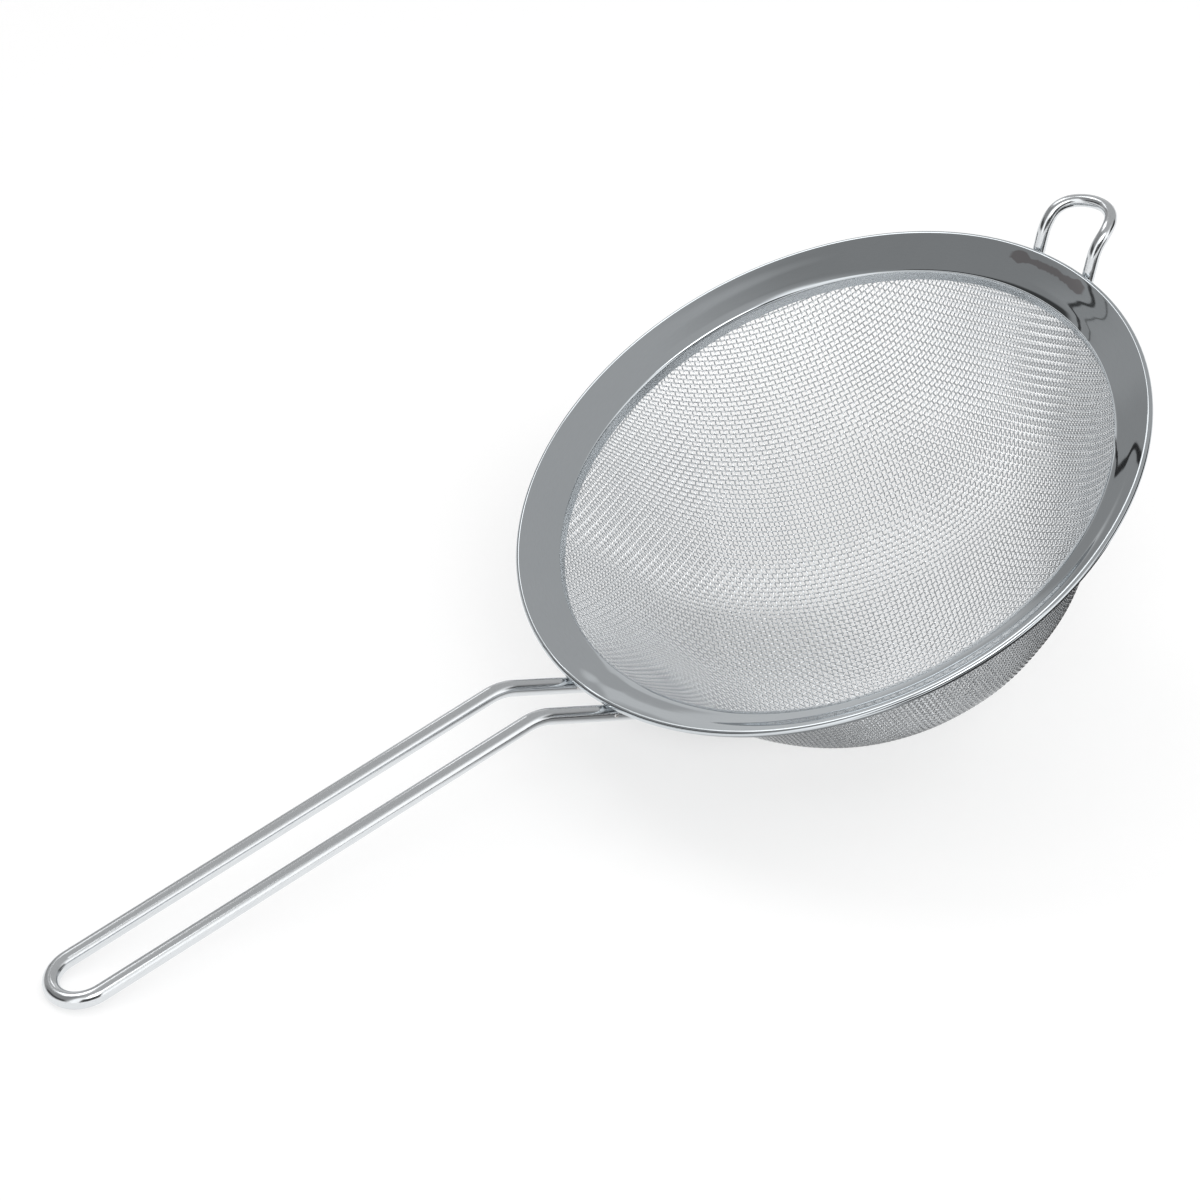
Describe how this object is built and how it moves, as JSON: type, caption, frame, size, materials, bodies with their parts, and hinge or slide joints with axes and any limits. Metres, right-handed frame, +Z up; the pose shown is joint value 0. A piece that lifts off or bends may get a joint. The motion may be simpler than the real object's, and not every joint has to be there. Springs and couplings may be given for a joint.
{
  "type": "sieve",
  "caption": "Kitchen sieve with a woven wire mesh bowl clamped under a conical sheet rim, a long hairpin wire handle and a small wire rest hook opposite it.",
  "frame": {"origin": "middle of the resting sieve's box, on the table that the bowl and the handle's end rest on", "axes": "+X from the handle's end to the rest hook, +Y across the bowl, +Z up from the table"},
  "size_m": [0.374, 0.2, 0.147],
  "materials": {
    "polished_sheet": "bright polished stainless sheet",
    "mesh_steel": "bright drawn wire, plain woven",
    "wire_steel": "bright polished round wire",
    "weld_steel": "small polished weld bead"
  },
  "bodies": {
    "root": {"rim_dish": "polished_sheet", "mesh_clamp_ring": "polished_sheet", "mesh_bowl": "mesh_steel", "handle": "wire_steel", "rest_hook": "wire_steel", "handle_weld_left": "weld_steel", "handle_weld_right": "weld_steel", "hook_weld_left": "weld_steel", "hook_weld_right": "weld_steel"}
  },
  "joints": []
}
